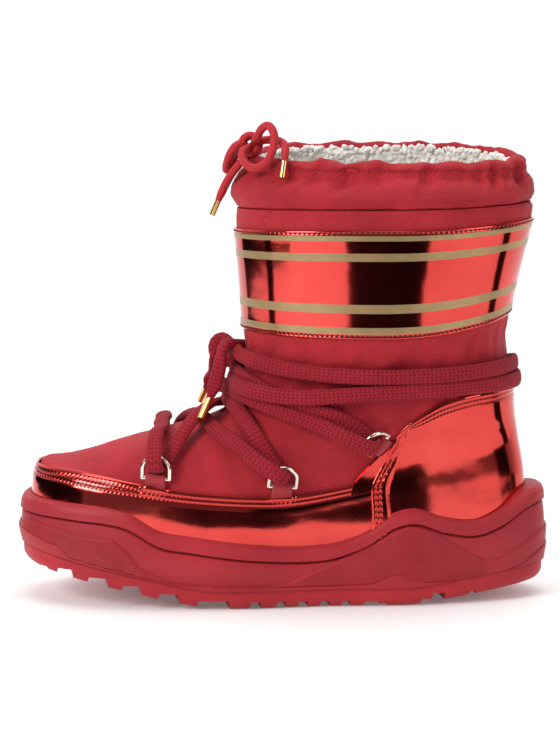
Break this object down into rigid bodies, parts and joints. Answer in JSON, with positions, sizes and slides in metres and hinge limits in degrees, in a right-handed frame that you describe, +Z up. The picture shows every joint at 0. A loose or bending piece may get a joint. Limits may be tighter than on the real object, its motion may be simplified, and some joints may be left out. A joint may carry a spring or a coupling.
{
  "type": "snow boot",
  "caption": "Ankle-high padded snow boot with a lugged cup sole, wrap-round lace through D-rings and a gathered drawcord collar.",
  "frame": {"origin": "on the ground, at the centre of the box round the boot without its lace and drawcord", "axes": "+Z up, toe towards -X, outer side of the left boot towards -Y"},
  "size_m": [0.2802, 0.1166, 0.2515],
  "materials": {
    "sole_rubber": "matt red rubber",
    "foam": "closed-cell foam",
    "steel": "plain spring steel",
    "board": "pressed fibre board",
    "stiffener": "thermoplastic stiffener",
    "pile_lining": "off-white curly pile",
    "nylon_fabric": "padded red twill nylon",
    "mirror_leather": "metallic red mirror finish",
    "ring_metal": "polished champagne nickel",
    "webbing": "red woven tape",
    "aglet_metal": "polished gold",
    "lace_braid": "flat crimson braid",
    "drawcord_braid": "round red braid"
  },
  "bodies": {
    "root": {"collar_casing": "nylon_fabric", "collar_sleeve": "nylon_fabric", "cup_sidewall": "sole_rubber", "drawcord_far_loop": "drawcord_braid", "drawcord_front_aglet": "aglet_metal", "drawcord_front_tail": "drawcord_braid", "drawcord_inner_lead": "drawcord_braid", "drawcord_knot": "drawcord_braid", "drawcord_near_loop": "drawcord_braid", "drawcord_outer_lead": "drawcord_braid", "drawcord_ring": "drawcord_braid", "drawcord_side_aglet": "aglet_metal", "drawcord_side_tail": "drawcord_braid", "footbed": "pile_lining", "heel_cover": "mirror_leather", "heel_stiffener": "stiffener", "insole_board": "board", "lace_inner_aglet": "aglet_metal", "lace_inner_half": "lace_braid", "lace_inner_tail": "lace_braid", "lace_knot": "lace_braid", "lace_outer_aglet": "aglet_metal", "lace_outer_half": "lace_braid", "lace_outer_tail": "lace_braid", "lining_foot": "pile_lining", "lining_shaft": "pile_lining", "midsole_filler": "foam", "mudguard": "mirror_leather", "outsole": "sole_rubber", "shaft_band": "mirror_leather", "shaft_shell": "nylon_fabric", "steel_shank": "steel", "tab_inner_front": "webbing", "tab_inner_middle": "webbing", "tab_inner_rear": "webbing", "tab_outer_front": "webbing", "tab_outer_middle": "webbing", "tab_outer_rear": "webbing", "toe_puff": "stiffener", "vamp_shell": "nylon_fabric"},
    "ring_inner_front": {"ring_inner_front": "ring_metal"},
    "ring_inner_middle": {"ring_inner_middle": "ring_metal"},
    "ring_inner_rear": {"ring_inner_rear": "ring_metal"},
    "ring_outer_front": {"ring_outer_front": "ring_metal"},
    "ring_outer_middle": {"ring_outer_middle": "ring_metal"},
    "ring_outer_rear": {"ring_outer_rear": "ring_metal"}
  },
  "joints": [
    {"name": "ring_inner_front_hinge", "type": "hinge", "parent": "root", "child": "ring_inner_front", "pos_m": [-0.06585, 0.04407, 0.06841], "axis": [-0.9862, -0.1591, 0.0461], "range_deg": [-6, 6]},
    {"name": "ring_inner_middle_hinge", "type": "hinge", "parent": "root", "child": "ring_inner_middle", "pos_m": [-0.00042, 0.04441, 0.06408], "axis": [-0.9905, 0.1195, 0.0688], "range_deg": [-6, 6]},
    {"name": "ring_inner_rear_hinge", "type": "hinge", "parent": "root", "child": "ring_inner_rear", "pos_m": [0.04993, 0.04164, 0.08519], "axis": [-0.636, -0.1454, -0.7578], "range_deg": [-6, 6]},
    {"name": "ring_outer_front_hinge", "type": "hinge", "parent": "root", "child": "ring_outer_front", "pos_m": [-0.06585, -0.04407, 0.06841], "axis": [0.9862, -0.1591, -0.0461], "range_deg": [-6, 6]},
    {"name": "ring_outer_middle_hinge", "type": "hinge", "parent": "root", "child": "ring_outer_middle", "pos_m": [-0.00042, -0.04441, 0.06408], "axis": [0.9905, 0.1195, -0.0688], "range_deg": [-6, 6]},
    {"name": "ring_outer_rear_hinge", "type": "hinge", "parent": "root", "child": "ring_outer_rear", "pos_m": [0.04993, -0.04164, 0.08519], "axis": [0.636, -0.1454, 0.7578], "range_deg": [-6, 6]}
  ]
}
